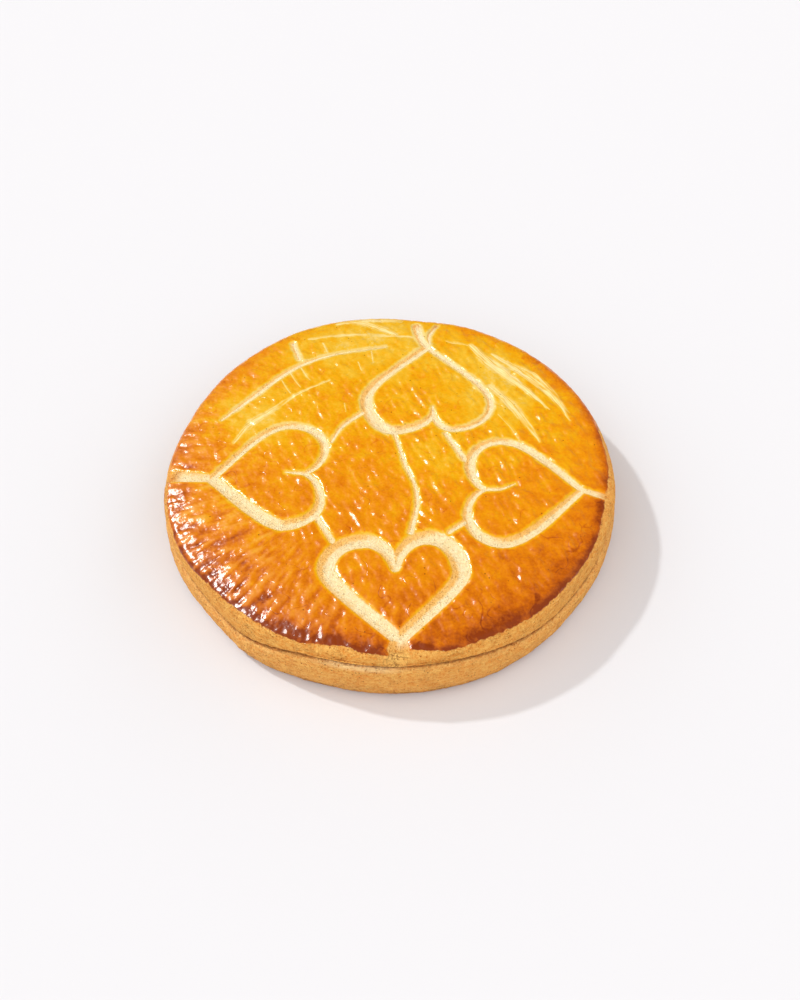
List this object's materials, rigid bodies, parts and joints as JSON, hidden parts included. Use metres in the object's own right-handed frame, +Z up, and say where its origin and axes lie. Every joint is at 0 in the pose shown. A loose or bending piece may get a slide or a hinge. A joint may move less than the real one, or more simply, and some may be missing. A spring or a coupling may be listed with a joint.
{
  "type": "basque cake",
  "caption": "Round shortcrust cake baked shut, with a glossy egg-washed lid scored with heart outlines and a plain lower crust.",
  "frame": {"origin": "centre of the cake's footprint, on the surface that it stands on", "axes": "+Z up; the front heart's tip points along -Y and the right heart's tip along +X"},
  "size_m": [0.223, 0.2217, 0.035],
  "materials": {
    "baked_dough": "dry, sandy baked shortcrust",
    "glazed_dough": "egg-washed shortcrust, glossy, with paler matte scored lines"
  },
  "bodies": {
    "root": {"base_crust": "baked_dough", "top_crust": "glazed_dough"}
  },
  "joints": []
}
